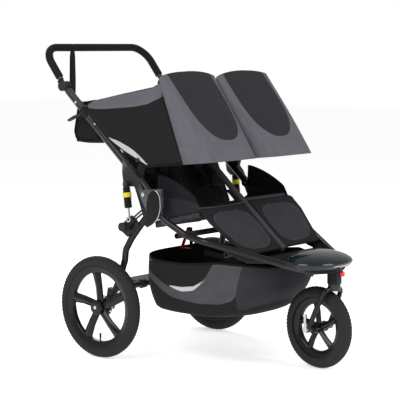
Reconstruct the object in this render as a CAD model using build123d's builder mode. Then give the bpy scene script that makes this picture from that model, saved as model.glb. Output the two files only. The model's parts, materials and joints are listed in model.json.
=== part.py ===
"""Side-by-side jogging stroller for two children, built as its separate pieces.

Frame: +X forward, +Y to the stroller's left, +Z up, origin on the ground under the middle of the stroller.
Points written as (x, z) or (x, y, z) count x forward from the rear axle; the planes and at() below shift them.
"""
import os
from math import atan2, cos, degrees, hypot, radians, sin

from build123d import *

os.makedirs("parts", exist_ok=True)

# ---- driving dimensions, millimetres and degrees ----
rear_axle_x = -281.2        # rear axle ahead of the origin
rear_wheel_radius = 200.0
rear_wheel_y = 364.0        # centre plane of a rear wheel
rear_tyre_radius = 23.0     # half the tyre's thickness
front_wheel_radius = 156.0
front_tyre_radius = 27.0
swivel_x = 850.0            # swivel axis of the front wheel
caster_trail = 75.0         # front axle behind the swivel axis
caster_turn = -7.2          # the front wheel stands turned this much
tube_y = 307.0              # centre plane of the upper tubes
tube_radius = 15.0
tube_wall = 1.6
rail_radius = 12.7
fold_x, fold_z = 212.0, 652.0      # fold hinge of the upper frame
swing_x, swing_z = 245.0, 608.0    # pivot of the rear swing arms
knuckle_x, knuckle_z = -235.0, 1055.0   # handlebar tilt axis
bar_x, bar_z = -352.6, 1207.0      # centre of the handlebar
grip_radius = 15.5
bar_radius = 11.0
hub_x, hub_z = 178.0, 782.0        # pivot of the canopy bows
seat_width = 270.0
seat_gap = 15.0             # half the space between the two seats
running = 0.06              # radial clearance of a turning fit
gap = 0.4                   # clearance between neighbouring pieces
sheet = 3.0                 # thickness of a fabric panel

swivel_axis = Axis((rear_axle_x + swivel_x, 0, 0), (0, 0, 1))


def at(x, y, z):
    """A point given from the rear axle, in the stroller's frame."""
    return (rear_axle_x + x, y, z)


def side_plane(y):
    """The upright plane at y, with x from the rear axle and z as its two directions; it faces -Y."""
    return Plane(origin=(rear_axle_x, y, 0), x_dir=(1, 0, 0), z_dir=(0, -1, 0))


def level_plane(z):
    """The level plane at height z, with x from the rear axle."""
    return Plane(origin=(rear_axle_x, 0, z))


def disc(x, z, radius, y_low, y_high, mode=Mode.ADD):
    """A round boss, pin or bore across the stroller."""
    with BuildSketch(side_plane(y_high)) as outline:
        with Locations((x, z)):
            Circle(radius)
    extrude(outline.sketch, amount=y_high - y_low, mode=mode)


def plate(points, y_low, y_high, mode=Mode.ADD):
    """A flat piece cut to an (x, z) outline, from y_low to y_high."""
    with BuildSketch(side_plane(y_high)) as outline:
        with BuildLine():
            Polyline(*points, close=True)
        make_face()
    extrude(outline.sketch, amount=y_high - y_low, mode=mode)


def slab(points, z_low, z_high, mode=Mode.ADD):
    """A flat piece cut to an (x, y) outline, from z_low to z_high."""
    with BuildSketch(level_plane(z_low)) as outline:
        with BuildLine():
            Polyline(*points, close=True)
        make_face()
    extrude(outline.sketch, amount=z_high - z_low, mode=mode)


def tube(points, radii, radius, wall=0.0, mode=Mode.ADD):
    """A bent round tube through (x, y, z) points, with a bend radius at each corner; wall 0 makes a bar."""
    places = [Vector(*at(*p)) for p in points]
    with BuildLine() as path:
        if len(places) == 2:
            Line(*places)
        else:
            FilletPolyline(*places, radius=radii)
    with BuildSketch(Plane(origin=path.line @ 0, z_dir=path.line % 0)) as section:
        Circle(radius)
        if wall:
            Circle(radius - wall, mode=Mode.SUBTRACT)
    sweep(section.sketch, path=path.line, mode=mode)


def keep(piece, name):
    """Labels a finished piece and writes its file."""
    piece.label = name
    export_step(piece, f"parts/{name}.step")


def keep_pair(left_piece, name):
    """Writes a left-hand piece and its mirror image."""
    keep(left_piece, "left_" + name)
    with BuildPart() as right:
        mirror(left_piece, about=Plane.XZ)
    keep(right.part, "right_" + name)


def toward(x, z, degrees_up, distance):
    """The (x, z) point at a distance from x, z in a direction counted up from +X."""
    return (x + distance * cos(radians(degrees_up)), z + distance * sin(radians(degrees_up)))


def between(start, end, share):
    """The point a share of the way from start to end; a share over 1 lies past the end."""
    return tuple(a + (b - a) * share for a, b in zip(start, end))


tube_direction = degrees(atan2(knuckle_z - fold_z, knuckle_x - fold_x))
tube_length = hypot(knuckle_z - fold_z, knuckle_x - fold_x)
arm_direction = degrees(atan2(bar_z - knuckle_z, bar_x - knuckle_x))

# ==== front frame ====
# Side rails: from the hinge castings down and forward, converging under the nose.
rail_top = (281, 343, 668)
rail_end = (812, 100, 384)
rail_points = [rail_top, (288, 343, 572), (405, 328, 508), (492, 328, 492), (742, 172, 412), rail_end]
rail_bends = (60, 90, 60, 60)
with BuildPart() as side_rail:
    tube(rail_points, rail_bends, rail_radius, tube_wall)
keep_pair(side_rail.part, "side_rail")

# Hinge castings: socket for the rail, web, and outer plate with the fold and swing pivots.
socket_radius = rail_radius + 5
plate_inner, plate_outer = 340.0, 348.0
pin_radius = 5.0
with BuildPart() as hinge_casting:
    tube([between(rail_points[0], rail_points[1], -0.09), between(rail_points[0], rail_points[1], 0.6)], (),
         socket_radius)
    plate([(222, 674), (268, 674), (300, 662), (300, 600), (276, 580), (247, 566), (226, 572), (220, 600),
           (196, 638), (196, 664)], plate_inner, plate_outer)
    tube([between(rail_points[0], rail_points[1], -0.3), rail_points[0]], (), rail_radius + 0.1,
         mode=Mode.SUBTRACT)
    tube(rail_points, rail_bends, rail_radius + 0.1, mode=Mode.SUBTRACT)
    disc(fold_x, fold_z, pin_radius + 0.02, plate_inner - 5, plate_outer + 5, mode=Mode.SUBTRACT)
    disc(swing_x, swing_z, pin_radius + 0.02, plate_inner - 5, plate_outer + 5, mode=Mode.SUBTRACT)
keep_pair(hinge_casting.part, "hinge_casting")

# Cross tubes under the rails tie the two sides together.
cross_radius = 11.0


def under_rail(share, first):
    """x, y and z of a cross tube's end under the rail's straight run that starts at point number first."""
    x, y, z = between(rail_points[first], rail_points[first + 1], share)
    run, drop = (rail_points[first + 1][i] - rail_points[first][i] for i in (0, 2))
    return x, y, z - (rail_radius + cross_radius + 0.3) * hypot(run, drop) / run


with BuildPart() as seat_cross_tubes:
    for share, first in ((0.63, 1), (0.27, 3)):
        x, y, z = under_rail(share, first)
        disc(x, z, cross_radius, -y, y)
        disc(x, z, cross_radius - tube_wall, -y - 1, y + 1, mode=Mode.SUBTRACT)
keep(seat_cross_tubes.part, "seat_cross_tubes")

# Head bracket: joins the rail ends and holds the swivel bearing of the fork.
bearing_bore = 12.0
with BuildPart() as head_bracket:
    slab([(770, -112), (815, -112), (872, -24), (872, 24), (815, 112), (770, 112), (806, 0)], 374, 392)
    for side in (-1, 1):
        last_run = [(x, side * y, z) for x, y, z in rail_points[-2:]]
        tube([between(*last_run, 0.78), between(*last_run, 1.1)], (), rail_radius + 4)
    with Locations(at(swivel_x, 0, 362)):
        Cylinder(27, 60)
    for side in (-1, 1):
        last_run = [(x, side * y, z) for x, y, z in rail_points[-2:]]
        tube([between(*last_run, 0.5), between(*last_run, 1.03)], (), rail_radius + 0.1, mode=Mode.SUBTRACT)
    with Locations(at(swivel_x, 0, 362)):
        Cylinder(bearing_bore + running, 70, mode=Mode.SUBTRACT)
    with BuildSketch(Plane(origin=at(swivel_x + 34, 0, 371), z_dir=(1, 0, 0))) as knob_hole:
        Circle(6 + running)
    extrude(knob_hole.sketch, amount=-17, mode=Mode.SUBTRACT)
keep(head_bracket.part, "head_bracket")

# Nose cover: glossy moulded shell over the head bracket.
nose_x = 770.0


def nose_shell(less, mode=Mode.ADD):
    """The dome of the nose, each wall set in by less."""
    sizes = ((394, 118, 150), (412, 121, 154), (436, 95, 126), (452 - less, 40, 60))
    faces = []
    for z, length, width in sizes:
        with BuildSketch(level_plane(z)) as ring:
            with Locations((nose_x, 0)):
                Ellipse(length - less, width - less)
        faces.append(ring.sketch.faces()[0])
    loft(faces, ruled=True, mode=mode)


with BuildPart() as nose_cover:
    nose_shell(0)
    nose_shell(4, mode=Mode.SUBTRACT)
    slab([(500, -300), (728, -300), (728, 300), (500, 300)], 380, 470, mode=Mode.SUBTRACT)
    for side in (-1, 1):
        tube([(x, side * y, z) for x, y, z in rail_points[2:]], rail_bends[2:], rail_radius + 1.5,
             mode=Mode.SUBTRACT)
keep(nose_cover.part, "nose_cover")

# Footrest deck between the rails, just behind the nose.
with BuildPart() as footrest_deck:
    slab([(600, -222), (722, -150), (722, 150), (600, 222)], 410, 420)
keep(footrest_deck.part, "footrest_deck")

# Swivel lock: spring plunger with a red head, in front of the fork bearing.
with BuildPart() as swivel_lock:
    with BuildSketch(Plane(origin=at(swivel_x + 21, 0, 371), z_dir=(1, 0, 0))):
        Circle(6)
    extrude(amount=14)
    with BuildSketch(Plane(origin=at(swivel_x + 32, 0, 371), z_dir=(1, 0, 0))):
        Circle(10)
    extrude(amount=8)
keep(swivel_lock.part, "swivel_lock")

# ==== seats ====
# Each base is a padded sling with a foot panel and two side wings.
seat_left, seat_right = seat_gap + seat_width, seat_gap
wing_outer = 291.0
base_outline = [(205, 508), (205, 545), (428, 604), (452, 598), (622, 440), (606, 424), (432, 560), (330, 508)]
wing_outline = [(228, 551), (300, 742), (392, 730), (440, 604), (430, 560), (330, 505), (228, 505)]
with BuildPart() as seat_base:
    plate(base_outline, seat_right, seat_left)
    plate(wing_outline, seat_left, wing_outer)
    slab([(530, 285), (640, 208), (640, 300), (530, 300)], 380, 620, mode=Mode.SUBTRACT)
keep_pair(seat_base.part, "seat_base")

# Seat backs lean behind the tubes and turn about a line near their foot.
recline_x, recline_z = 150.0, 536.0
back_direction = 114.0
back_length = 420.0
back_thickness = 42.0


def back_point(along, forward):
    """A point of the seat back, along it from its foot and forward from its middle."""
    x, z = toward(recline_x, recline_z, back_direction, along)
    return toward(x, z, back_direction - 90, forward)


with BuildPart() as seat_back:
    half = back_thickness / 2
    plate([back_point(8, -half), back_point(-4, 0), back_point(8, half), back_point(back_length, half - 8),
           back_point(back_length, -half + 8)], seat_right, seat_left)
keep_pair(seat_back.part, "seat_back")

# Harness: two shoulder straps, a buckle and a chest clip in front of each seat back.
strap_width, strap_thickness = 25.0, 2.4
seat_middle = (seat_left + seat_right) / 2
with BuildPart() as harness:
    front = back_thickness / 2 + gap
    for across in (-55, 55):
        plate([back_point(120, front), back_point(120, front + strap_thickness),
               back_point(340, front + strap_thickness), back_point(340, front)],
              seat_middle + across - strap_width / 2, seat_middle + across + strap_width / 2)
    plate([back_point(105, front), back_point(105, front + 12), back_point(150, front + 12),
           back_point(150, front)], seat_middle - 70, seat_middle + 70)
keep_pair(harness.part, "harness")

# Storage basket under the seats: a deep fabric tub, open at the top.
basket_side = [(82, 406), (190, 397), (365, 401), (510, 416), (600, 405), (674, 388),
               (670, 290), (640, 250), (571, 226), (412, 189), (240, 177), (137, 177)]
basket_plan = [(60, -285), (440, -285), (500, -226), (600, -104), (650, -48), (672, 0),
               (650, 48), (600, 104), (500, 226), (440, 285), (60, 285)]


def basket_form(less, mode=Mode.ADD):
    """The tub's form, each wall set in by less; a set-in form runs out through the open top."""
    with BuildPart(mode=Mode.PRIVATE) as form:
        with BuildSketch(side_plane(300)) as profile:
            with BuildLine():
                Polyline(*basket_side, close=True)
            make_face()
            if less:
                offset(amount=-less)
                with BuildLine():
                    Polyline((95, 380), (95, 470), (669, 470), (669, 340), close=True)
                make_face()
        extrude(profile.sketch, amount=600)
        with BuildSketch(level_plane(100)) as plan:
            with BuildLine():
                Polyline(*basket_plan, close=True)
            make_face()
            if less:
                offset(amount=-less)
        extrude(plan.sketch, amount=500, mode=Mode.INTERSECT)
    add(form.part, mode=mode)


with BuildPart() as basket:
    basket_form(0)
    basket_form(sheet, mode=Mode.SUBTRACT)
keep(basket.part, "basket")

# Fold strap: a red webbing loop hanging under the seats, pulled to release the rear wheels.
with BuildPart() as fold_strap:
    plate([(228, 507.7), (246, 507.7), (248, 420), (196, 420)], -112, -90)
    plate([(236, 502), (240, 502), (243, 424), (205, 424)], -113, -89, mode=Mode.SUBTRACT)
keep(fold_strap.part, "fold_strap")

# Pivot bolts: the fold bolts and the swing arm bolts, with their heads outside the castings.
bolt_head_radius = 8.0
with BuildPart() as pivot_bolts:
    disc(fold_x, fold_z, pin_radius, tube_y - tube_radius, plate_outer + 1)
    disc(fold_x, fold_z, bolt_head_radius, plate_outer + 0.1, plate_outer + 5)
    disc(swing_x, swing_z, pin_radius, tube_y - tube_radius, plate_outer + 1)
    disc(swing_x, swing_z, bolt_head_radius + 2, plate_outer + 0.1, plate_outer + 5)
    mirror(about=Plane.XZ)
keep(pivot_bolts.part, "pivot_bolts")

# ==== upper frame ====
knuckle_radius = 20.0
with BuildPart() as upper_tube:
    start = toward(fold_x, fold_z, tube_direction, 12)
    end = toward(fold_x, fold_z, tube_direction, tube_length - 30)
    tube([(start[0], tube_y, start[1]), (end[0], tube_y, end[1])], (), tube_radius, tube_wall)
    disc(fold_x, fold_z, tube_radius + 2, tube_y - tube_radius, tube_y + tube_radius)
    disc(fold_x, fold_z, pin_radius + running, tube_y - 20, tube_y + 20, mode=Mode.SUBTRACT)
    lever_x, lever_z = toward(fold_x, fold_z, tube_direction, 462)
    lever_pivot = toward(lever_x, lever_z, tube_direction + 90, tube_radius + 9)
    lug_back = toward(lever_x, lever_z, tube_direction, 9)
    lug_front = toward(lever_x, lever_z, tube_direction, -9)
    plate([toward(*lug_front, tube_direction + 90, tube_radius - 1),
           toward(*lug_back, tube_direction + 90, tube_radius - 1),
           toward(*lever_pivot, tube_direction, 6), toward(*lever_pivot, tube_direction, -6)],
          tube_y - 4, tube_y + 4)
    disc(*lever_pivot, 6, tube_y - 4, tube_y + 4)
    disc(*lever_pivot, 2.5 + running, tube_y - 8, tube_y + 8, mode=Mode.SUBTRACT)
keep_pair(upper_tube.part, "upper_tube")

# Cross tube behind the seat backs.
cross_x, cross_z = toward(fold_x, fold_z, tube_direction, 500)
with BuildPart() as upper_cross_tube:
    reach = tube_y - tube_radius - 0.2
    disc(cross_x, cross_z, 9, -reach, reach)
keep(upper_cross_tube.part, "upper_cross_tube")


def tilt_half(direction, y_low, y_high, plug_radius):
    """Half of a tilt knuckle: a disc, a collar and a plug that goes into its tube."""
    disc(knuckle_x, knuckle_z, knuckle_radius, y_low, y_high)
    near = toward(knuckle_x, knuckle_z, direction, knuckle_radius + 2)
    far = toward(knuckle_x, knuckle_z, direction, 62)
    tube([(near[0], tube_y, near[1]), (far[0], tube_y, far[1])], (), plug_radius)
    inner = toward(knuckle_x, knuckle_z, direction, 8)
    outer = toward(knuckle_x, knuckle_z, direction, 29.5)
    collar_y = (y_low + y_high) / 2
    middle = [toward(*inner, direction + 90, -9), toward(*outer, direction + 90, -9),
              toward(*outer, direction + 90, 9), toward(*inner, direction + 90, 9)]
    plate(middle, collar_y - 7, collar_y + 7)


# Tilt housings: the fixed half of each handlebar knuckle.
with BuildPart() as tilt_housings:
    tilt_half(tube_direction + 180, tube_y - 18, tube_y - 0.3, tube_radius - tube_wall - 0.1)
    disc(knuckle_x, knuckle_z, 5, tube_y - 2, tube_y + 18)
    mirror(about=Plane.XZ)
keep(tilt_housings.part, "tilt_housings")

# Canopy hubs: brackets on the tubes with the pins that the canopy bows turn on.
hub_pin = 4.0
hood_outer, hood_inner = 336.0, 9.0
visor_outer, visor_inner = 342.0, 3.0
foot_x, foot_z = toward(fold_x, fold_z, tube_direction, 80)
with BuildPart() as canopy_hubs:
    post = [toward(foot_x, foot_z, tube_direction, -16), toward(foot_x, foot_z, tube_direction, 16),
            (hub_x - 9, hub_z + 6), (hub_x + 9, hub_z + 6)]
    plate(post, tube_y - 9, tube_y + 9)
    below, above = (toward(foot_x, foot_z, tube_direction, d) for d in (-60, 60))
    tube([(below[0], tube_y, below[1]), (above[0], tube_y, above[1])], (), tube_radius + 0.3,
         mode=Mode.SUBTRACT)
    disc(hub_x, hub_z, hub_pin, tube_y, visor_outer + 2)
    disc(hub_x, hub_z, hub_pin + 4, visor_outer + 0.3, visor_outer + 4)
    mirror(about=Plane.XZ)
    disc(hub_x, hub_z, hub_pin, -hood_inner - sheet - 2, hood_inner + sheet + 2)
keep(canopy_hubs.part, "canopy_hubs")

# Canopy hoods: top panel and black side panels of each canopy, open below and in front.
hood_outline = [(-92, 963), (-92, 1003), (209, 1062), (283, 1097), (404, 774), (218, 753), (193, 766),
                (107, 805), (45, 841), (-25, 895)]
hood_inside = [(-89, 700), (-89, 1000), (209, 1058.6), (281, 1093), (600, 1093), (600, 700)]
with BuildPart() as canopy_hood:
    plate(hood_outline, hood_inner, hood_outer)
    disc(hub_x, hub_z, 14, hood_inner, hood_outer)
    plate(hood_inside, hood_inner + sheet, hood_outer - sheet, mode=Mode.SUBTRACT)
    disc(hub_x, hub_z, hub_pin + 0.05, 0, hood_outer + 5, mode=Mode.SUBTRACT)
keep_pair(canopy_hood.part, "canopy_hood")

# Canopy visors: the sloping front panel of each canopy with its side wraps.
visor_top, visor_hem = (287, 1108), (534, 787)
slope = degrees(atan2(visor_hem[1] - visor_top[1], visor_hem[0] - visor_top[0]))
inner_top = toward(*toward(*visor_top, slope - 90, sheet), slope + 180, 60)
inner_hem = toward(*toward(*visor_hem, slope - 90, sheet), slope, 60)
with BuildPart() as canopy_visor:
    plate([visor_top, visor_hem, (524, 779), (404, 771), (hub_x, hub_z - 14), (hub_x - 10, hub_z),
           (232, 1086)], visor_inner, visor_outer)
    plate([inner_top, inner_hem, (inner_hem[0], 700), (100, 700), (100, inner_top[1])],
          visor_inner + sheet, visor_outer - sheet, mode=Mode.SUBTRACT)
    disc(hub_x, hub_z, hub_pin + running, 0, visor_outer + 5, mode=Mode.SUBTRACT)
keep_pair(canopy_visor.part, "canopy_visor")

# Canopy bows: flat spring hoops inside the visors' front hems.
bow_thickness = 1.8
bow_y = (hood_outer + visor_outer - sheet) / 2
bow_inner_y = (hood_inner + visor_inner + sheet) / 2
bow_far = (522.5, 788)
with BuildPart() as canopy_bow:
    leg = [(hub_x, hub_z - 7), (bow_far[0] - 6, bow_far[1] - 6), (bow_far[0] - 2, bow_far[1] + 5),
           (hub_x, hub_z + 7)]
    for y in (bow_y, bow_inner_y):
        plate(leg, y - bow_thickness / 2, y + bow_thickness / 2)
        disc(hub_x, hub_z, 8, y - bow_thickness / 2, y + bow_thickness / 2)
    plate([(bow_far[0] - 6, bow_far[1] - 6), (bow_far[0] - 2, bow_far[1] - 6), (bow_far[0] + 0.5, bow_far[1] + 5),
           (bow_far[0] - 5.5, bow_far[1] + 5)], bow_inner_y, bow_y)
    disc(hub_x, hub_z, hub_pin + running, 0, bow_y + 5, mode=Mode.SUBTRACT)
keep_pair(canopy_bow.part, "canopy_bow")

# Storage pocket hanging behind the seat backs, open at the top.
pocket_outline = [(-205, 972), (-135, 972), (-112, 925), (-80, 855), (-80, 836), (-100, 829), (-215, 829),
                  (-232, 850), (-222, 880)]
pocket_half = 276.0
with BuildPart() as storage_pocket:
    plate(pocket_outline, -pocket_half, pocket_half)
    with BuildSketch(side_plane(pocket_half - sheet)) as hollow:
        with BuildLine():
            Polyline(*pocket_outline, close=True)
        make_face()
        offset(amount=-sheet, kind=Kind.INTERSECTION)
        with BuildLine():
            Polyline((-202, 960), (-134, 960), (-140, 990), (-202, 990), close=True)
        make_face()
    extrude(hollow.sketch, amount=2 * (pocket_half - sheet), mode=Mode.SUBTRACT)
keep(storage_pocket.part, "storage_pocket")

# ==== handlebar ====
arm_start = toward(knuckle_x, knuckle_z, arm_direction, 30)
bar_bend = 78.0
bar_points = [(arm_start[0], tube_y, arm_start[1]), (bar_x, tube_y, bar_z), (bar_x, -tube_y, bar_z),
              (arm_start[0], -tube_y, arm_start[1])]
with BuildPart() as handle_tube:
    tube(bar_points, (bar_bend, bar_bend), bar_radius, tube_wall)
keep(handle_tube.part, "handle_tube")

# Foam grips: one short one at the right-hand end and one long one, with a bare gap between them.
grip_gap_y = -136.0
grip_start = toward(knuckle_x, knuckle_z, arm_direction, 44)
with BuildPart() as handle_grips:
    foam_wall = grip_radius - bar_radius - 0.05
    tube([(grip_start[0], tube_y, grip_start[1]), (bar_x, tube_y, bar_z), (bar_x, grip_gap_y + 8, bar_z)],
         bar_bend, grip_radius, foam_wall)
    tube([(bar_x, grip_gap_y - 8, bar_z), (bar_x, -tube_y, bar_z), (grip_start[0], -tube_y, grip_start[1])],
         bar_bend, grip_radius, foam_wall)
keep(handle_grips.part, "handle_grips")

# Tilt knuckles: the moving half of each knuckle.
with BuildPart() as tilt_knuckles:
    tilt_half(arm_direction, tube_y + 0.3, tube_y + 18, bar_radius - tube_wall - 0.1)
    disc(knuckle_x, knuckle_z, 5 + running, tube_y - 5, tube_y + 25, mode=Mode.SUBTRACT)
    mirror(about=Plane.XZ)
keep(tilt_knuckles.part, "tilt_knuckles")

# Wrist strap: a webbing loop hanging from the bare gap of the bar.
strap_y = grip_gap_y
with BuildPart() as wrist_strap:
    disc(bar_x, bar_z, bar_radius + 3, strap_y - 6, strap_y + 6)
    plate([(bar_x - 4, bar_z), (bar_x + 4, bar_z), (bar_x + 6, 1050), (bar_x + 3, 1000), (bar_x - 3, 1000),
           (bar_x - 6, 1050)], strap_y - 6, strap_y + 6)
    plate([(bar_x - 1, bar_z - 30), (bar_x + 1, bar_z - 30), (bar_x + 3, 1050), (bar_x, 1003),
           (bar_x - 3, 1050)], strap_y - 20, strap_y + 10, mode=Mode.SUBTRACT)
    disc(bar_x, bar_z, bar_radius + 0.1, strap_y - 20, strap_y + 20, mode=Mode.SUBTRACT)
keep(wrist_strap.part, "wrist_strap")

# Fold levers under the upper tubes.
lever_direction = 196.0
with BuildPart() as fold_lever:
    disc(*lever_pivot, 6.5, tube_y - 9, tube_y + 9)
    grip_near = toward(*lever_pivot, lever_direction, 38)
    plate([toward(*lever_pivot, lever_direction - 90, 6), toward(*grip_near, lever_direction - 90, 4.5),
           toward(*lever_pivot, lever_direction + 2, 70), toward(*lever_pivot, lever_direction + 8, 70),
           toward(*grip_near, lever_direction + 90, 5), toward(*lever_pivot, lever_direction + 90, 6)],
          tube_y - 9, tube_y + 9)
    disc(*lever_pivot, 14, tube_y - 4.6, tube_y + 4.6, mode=Mode.SUBTRACT)
    disc(*lever_pivot, 2.5, tube_y - 9, tube_y + 9)
keep_pair(fold_lever.part, "fold_lever")

# ==== rear suspension ====
# Gusset arms carry the tops of the shocks and turn with the swing arms when the rear folds.
shock_y = 345.0
shock_top = (121.0, 687.0)
shock_foot = (138.0, 552.0)
gusset_inner, gusset_outer = 324.0, 330.0
with BuildPart() as gusset_arm:
    plate([(89, 775), (88, 725), (93, 694), (112, 676), (147, 678), (170, 660), (184, 636), (198, 606),
           (232, 588), (262, 600), (262, 622), (232, 641), (213, 643), (200, 652), (178, 698), (128, 752)],
          gusset_inner, gusset_outer)
    disc(swing_x, swing_z, 17, gusset_inner, gusset_outer)
    disc(swing_x, swing_z, pin_radius + running, gusset_inner - 2, gusset_outer + 2, mode=Mode.SUBTRACT)
    disc(*shock_top, 5, gusset_inner, shock_y + 9)
keep_pair(gusset_arm.part, "gusset_arm")

# Swing legs: top eye, bent leg, axle block with its stub axle, and the lug for the shock's foot.
leg_y = 309.0
leg_radius = 13.0
axle_radius = 7.5
hub_inner, hub_outer = 338.0, 392.0
knob_x, knob_z = 106.0, 521.0
with BuildPart() as swing_leg:
    tube([(214, leg_y, 580), (180, leg_y, 548), (118, leg_y, 475), (86, leg_y, 425), (82, leg_y, 385),
          (58, leg_y, 320), (18, leg_y, 236)], (60, 60, 40, 60, 120), leg_radius)
    disc(swing_x, swing_z, 14, leg_y - leg_radius, leg_y + leg_radius)
    plate([toward(swing_x, swing_z, 135, 14), (196, 566), (212, 548), toward(swing_x, swing_z, 315, 14)],
          leg_y - leg_radius, leg_y + leg_radius)
    disc(swing_x, swing_z, pin_radius + running, leg_y - 20, leg_y + 20, mode=Mode.SUBTRACT)
    plate([(-16, 186), (16, 186), (36, 262), (0, 270)], leg_y - 11, leg_y + 11)
    disc(0, rear_wheel_radius, 20, leg_y - 11, leg_y + 24)
    disc(0, rear_wheel_radius, axle_radius, leg_y, hub_outer - 12)
    plate([(80, 500), (96, 540), (130, 565), (150, 555), (172, 530), (140, 500), (110, 480)],
          leg_y + leg_radius - 2, leg_y + leg_radius + 5)
    disc(*shock_foot, 5, leg_y + 10, shock_y + 9)
    disc(knob_x, knob_z, 4, leg_y + 10, shock_y + 8)
keep_pair(swing_leg.part, "swing_leg")

# Axle tube between the two legs.
axle_tube_x, axle_tube_z = 34.0, 268.0
with BuildPart() as rear_axle_tube:
    disc(axle_tube_x, axle_tube_z, 13, -(leg_y - leg_radius - 0.3), leg_y - leg_radius - 0.3)
keep(rear_axle_tube.part, "rear_axle_tube")

# Ride knobs set the spring travel.
with BuildPart() as ride_knob:
    disc(knob_x, knob_z, 17, leg_y + leg_radius + 5.6, shock_y + 12)
    disc(knob_x, knob_z, 4 + running, leg_y + leg_radius, shock_y + 8.6, mode=Mode.SUBTRACT)
keep_pair(ride_knob.part, "ride_knob")

# Shocks: a barrel pinned to the gusset arm and a rod pinned to the leg.
shock_direction = degrees(atan2(shock_foot[1] - shock_top[1], shock_foot[0] - shock_top[0]))
shock_length = hypot(shock_foot[1] - shock_top[1], shock_foot[0] - shock_top[0])


def along_shock(distance):
    """A point on the shock's centre line, from its top pin."""
    x, z = toward(*shock_top, shock_direction, distance)
    return (x, shock_y, z)


with BuildPart() as shock_barrel:
    tube([along_shock(8), along_shock(92)], (), 12.5)
    disc(*shock_top, 11, shock_y - 8, shock_y + 8)
    disc(*shock_top, 5 + running, shock_y - 20, shock_y + 20, mode=Mode.SUBTRACT)
    tube([along_shock(30), along_shock(100)], (), 4 + running, mode=Mode.SUBTRACT)
keep_pair(shock_barrel.part, "shock_barrel")

with BuildPart() as shock_rod:
    tube([along_shock(60), along_shock(shock_length - 9)], (), 4)
    disc(*shock_foot, 11, shock_y - 8, shock_y + 8)
    disc(*shock_foot, 5.8, shock_y - 20, shock_y + 20, mode=Mode.SUBTRACT)
keep_pair(shock_rod.part, "shock_rod")

# Brake bar: a foot bar that turns about the axle tube.
with BuildPart() as brake_bar:
    for y in (-150, 150):
        disc(axle_tube_x, axle_tube_z, 18, y - 12, y + 12)
    plate([(axle_tube_x - 14, axle_tube_z - 10), (axle_tube_x - 10, axle_tube_z + 10), (-48, 284), (-52, 272)],
          -162, 162)
    disc(axle_tube_x, axle_tube_z, 18, -138, 138, mode=Mode.SUBTRACT)
    disc(axle_tube_x, axle_tube_z, 13 + running, -170, 170, mode=Mode.SUBTRACT)
keep(brake_bar.part, "brake_bar")


# ==== wheels ====
def tyre(centre, outer_radius, section_radius, rim_radius):
    """A tyre round the axis through centre, along Y."""
    section_centre = outer_radius - section_radius
    x, y, z = at(*centre)
    with BuildSketch(Plane(origin=(x, y, z), x_dir=(0, 0, 1), z_dir=(1, 0, 0))) as section:
        with Locations((section_centre, 0)):
            Circle(section_radius)
        with Locations((rim_radius - 25, 0)):
            Rectangle(50, 120, mode=Mode.SUBTRACT)
    revolve(section.sketch, axis=Axis((x, y, z), (0, 1, 0)))


def wheel(centre, rim_radius, window_radius, hub_radius, y_low, y_high, bore, first_spoke):
    """A five-spoke moulded wheel round the axis through centre, along Y."""
    x, y, z = at(*centre)
    lip = rim_radius - 0.1
    with BuildSketch(Plane(origin=(x, y, z), x_dir=(0, 0, 1), z_dir=(1, 0, 0))) as section:
        with BuildLine():
            Polyline((window_radius, -9), (window_radius, 9), (lip - 10, 15), (lip, 18), (lip, -18),
                     (lip - 10, -15), close=True)
        make_face()
    revolve(section.sketch, axis=Axis((x, y, z), (0, 1, 0)))
    disc(centre[0], centre[2], hub_radius, y_low, y_high)
    for turn in range(5):
        direction = first_spoke + 72 * turn
        foot = toward(centre[0], centre[2], direction, hub_radius - 6)
        head = toward(centre[0], centre[2], direction, window_radius + 2)
        plate([toward(*foot, direction + 90, -19), toward(*head, direction + 90, -12),
               toward(*head, direction + 90, 12), toward(*foot, direction + 90, 19)],
              centre[1] - 8, centre[1] + 8)
    disc(centre[0], centre[2], bore, y_low - 5, y_high + 5, mode=Mode.SUBTRACT)


rear_rim_radius, rear_window_radius = 162.0, 136.0
first_spoke = 90.0
rear_centre = (0, rear_wheel_y, rear_wheel_radius)
with BuildPart() as rear_tyre:
    tyre(rear_centre, rear_wheel_radius, rear_tyre_radius, rear_rim_radius)
keep_pair(rear_tyre.part, "rear_tyre")
with BuildPart() as rear_wheel:
    wheel(rear_centre, rear_rim_radius, rear_window_radius, 27, hub_inner, hub_outer,
          axle_radius + running, first_spoke)
keep_pair(rear_wheel.part, "rear_wheel")

# Brake discs: notched plates on the inner side of each rear hub.
with BuildPart() as brake_disc:
    disc(0, rear_wheel_radius, 42, hub_inner + 0.2, hub_inner + 5)
    with BuildSketch(side_plane(hub_inner + 6)) as notches:
        with Locations((0, rear_wheel_radius)):
            with PolarLocations(36, 12):
                Circle(4)
    extrude(notches.sketch, amount=10, mode=Mode.SUBTRACT)
    disc(0, rear_wheel_radius, 27.1, hub_inner - 5, hub_inner + 10, mode=Mode.SUBTRACT)
keep_pair(brake_disc.part, "brake_disc")

# Hub buttons: pressed in to take a rear wheel off.
with BuildPart() as hub_button:
    disc(0, rear_wheel_radius, 7, hub_outer - 7, hub_outer + 3)
keep_pair(hub_button.part, "hub_button")

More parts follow.
